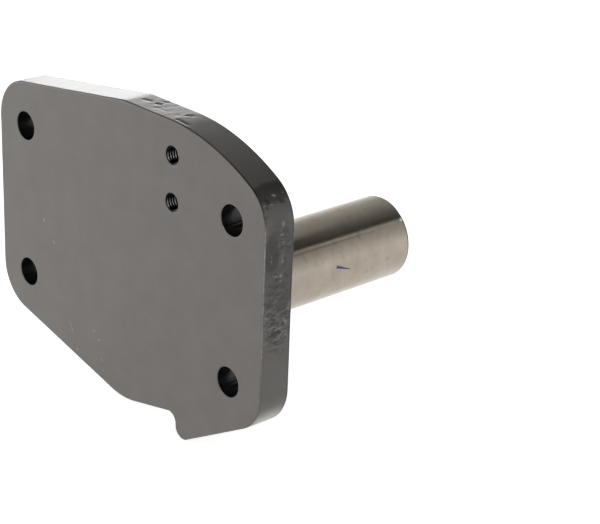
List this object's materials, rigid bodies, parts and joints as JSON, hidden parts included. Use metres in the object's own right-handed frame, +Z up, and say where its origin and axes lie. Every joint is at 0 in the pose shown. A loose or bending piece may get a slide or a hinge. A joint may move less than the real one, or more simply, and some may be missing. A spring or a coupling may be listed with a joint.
{
  "type": "flanged bearing pin",
  "caption": "Steel pivot pin welded square to the back of a thick bolt-on flange plate with a curved top edge, a rounded keel, corner bolt holes, tapped holes and a small stop heel.",
  "frame": {"origin": "middle of the four bolt holes, on the plate's smooth seating face", "axes": "+Y from the seating face along the pin to its free end, +X across the plate towards the tapped holes, +Z up the plate, with the heel at the bottom"},
  "size_m": [0.18, 0.157, 0.1395],
  "materials": {
    "plate_paint": "satin dark grey paint on flame-cut steel plate",
    "pin_steel": "bare, turned and ground steel",
    "weld_paint": "rippled weld under the same satin paint"
  },
  "bodies": {
    "root": {"flange_plate": "plate_paint", "bearing_pin": "pin_steel", "weld_bead": "weld_paint"}
  },
  "joints": []
}
